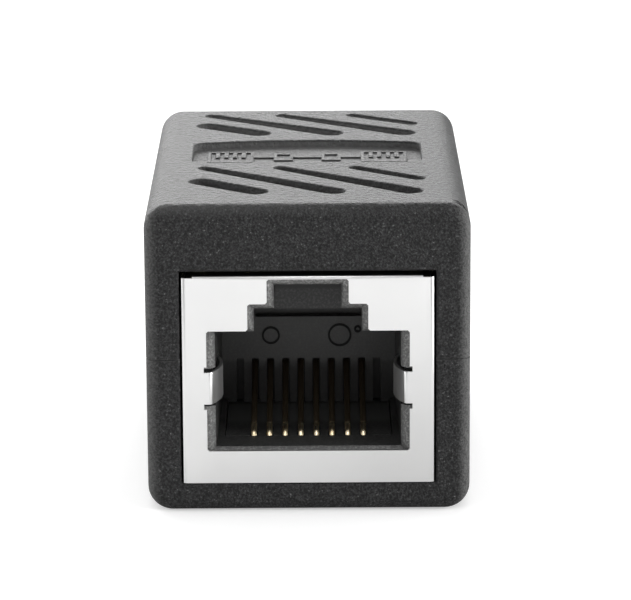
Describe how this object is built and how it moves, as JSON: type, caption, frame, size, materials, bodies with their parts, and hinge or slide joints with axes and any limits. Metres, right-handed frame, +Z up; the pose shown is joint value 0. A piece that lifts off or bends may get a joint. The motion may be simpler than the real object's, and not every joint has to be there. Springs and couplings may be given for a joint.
{
  "type": "network cable inline coupler",
  "caption": "Straight inline coupler: black moulded housing with a shielded modular network socket in each end, spring contacts inside and slanted relief on the roof.",
  "frame": {"origin": "centre of the underside of the housing, on the surface it rests on", "axes": "+Z up through the roof, +Y towards the rear socket, -Y out of the front socket, +X to the right when looking into the front socket"},
  "size_m": [0.0208, 0.03, 0.0202],
  "materials": {
    "housing_plastic": "fine spark-eroded black moulding",
    "insulator_plastic": "smooth black moulding",
    "carrier_plastic": "smooth black moulding",
    "shield_metal": "bright satin nickel plate",
    "contact_gold": "gold plate",
    "board_laminate": "green solder mask on glass laminate",
    "solder": "bright tin solder"
  },
  "bodies": {
    "root": {"upper_shell": "housing_plastic", "lower_shell": "housing_plastic", "circuit_board": "board_laminate", "front_shield": "shield_metal", "front_insulator": "insulator_plastic", "front_contact_carrier": "carrier_plastic", "front_solder_joints": "solder", "front_contact_1": "contact_gold", "front_contact_2": "contact_gold", "front_contact_3": "contact_gold", "front_contact_4": "contact_gold", "front_contact_5": "contact_gold", "front_contact_6": "contact_gold", "front_contact_7": "contact_gold", "front_contact_8": "contact_gold", "rear_shield": "shield_metal", "rear_insulator": "insulator_plastic", "rear_contact_carrier": "carrier_plastic", "rear_solder_joints": "solder", "rear_contact_1": "contact_gold", "rear_contact_2": "contact_gold", "rear_contact_3": "contact_gold", "rear_contact_4": "contact_gold", "rear_contact_5": "contact_gold", "rear_contact_6": "contact_gold", "rear_contact_7": "contact_gold", "rear_contact_8": "contact_gold"}
  },
  "joints": []
}
